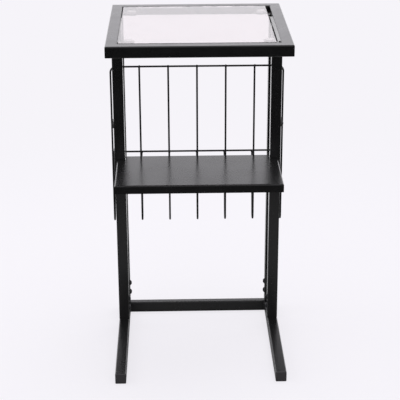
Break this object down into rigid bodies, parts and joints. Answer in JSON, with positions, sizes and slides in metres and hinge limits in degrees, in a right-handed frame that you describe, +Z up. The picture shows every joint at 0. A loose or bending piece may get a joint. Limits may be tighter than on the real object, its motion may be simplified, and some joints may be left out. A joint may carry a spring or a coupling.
{
  "type": "side table",
  "caption": "Narrow C-shaped side table of black square steel tube with an inset glass top, a folded sheet shelf and a wire magazine rack at the rear.",
  "frame": {"origin": "on the floor under the middle of the table: x = 0 midway between the feet, y = 0 midway along the feet, z = 0 on the floor", "axes": "+Z is up, X runs across the table along the crossbar, and +Y points from the open front of the feet towards the rack at the rear"},
  "size_m": [0.3268, 0.315, 0.635],
  "materials": {
    "frame_paint": "satin black powder coat on steel tube",
    "shelf_paint": "satin black powder coat on folded steel sheet, smooth enough for soft reflections",
    "wire_paint": "satin black powder coat on round wire",
    "black_plastic": "matte black moulded plastic",
    "blackened_steel": "black oxide on steel",
    "zinc_steel": "bright zinc plate on steel",
    "clear_glass": "clear toughened float glass with ground edges",
    "clear_cup": "clear soft plastic"
  },
  "bodies": {
    "table": {"base_bolts": "blackened_steel", "base_nuts": "zinc_steel", "foot_cap_front_left": "black_plastic", "foot_cap_front_right": "black_plastic", "foot_cap_rear_left": "black_plastic", "foot_cap_rear_right": "black_plastic", "foot_left": "frame_paint", "foot_right": "frame_paint", "front_post_left": "frame_paint", "front_post_right": "frame_paint", "front_spigot_left": "frame_paint", "front_spigot_right": "frame_paint", "glass_cup_front_left": "clear_cup", "glass_cup_front_right": "clear_cup", "glass_cup_rear_left": "clear_cup", "glass_cup_rear_right": "clear_cup", "glass_tab_front_left": "frame_paint", "glass_tab_front_right": "frame_paint", "glass_tab_rear_left": "frame_paint", "glass_tab_rear_right": "frame_paint", "rack_hoop": "wire_paint", "rack_lug_front_left": "frame_paint", "rack_lug_front_right": "frame_paint", "rack_lug_rear_left": "frame_paint", "rack_lug_rear_right": "frame_paint", "rack_nuts": "zinc_steel", "rack_rail": "wire_paint", "rack_screws": "blackened_steel", "rack_wire_1": "wire_paint", "rack_wire_2": "wire_paint", "rack_wire_3": "wire_paint", "rack_wire_4": "wire_paint", "rack_wire_5": "wire_paint", "rear_crossbar": "frame_paint", "rear_post_left": "frame_paint", "rear_post_right": "frame_paint", "rear_spigot_left": "frame_paint", "rear_spigot_right": "frame_paint", "shelf_nuts": "zinc_steel", "shelf_panel": "shelf_paint", "shelf_screws": "blackened_steel", "top_bar_front": "frame_paint", "top_bar_left": "frame_paint", "top_bar_rear": "frame_paint", "top_bar_right": "frame_paint"},
    "glass": {"glass_top": "clear_glass"}
  },
  "joints": [
    {"name": "glass_lift", "type": "slide", "parent": "table", "child": "glass", "axis": [0, 0, 1], "range_m": [0, 0.05]}
  ]
}
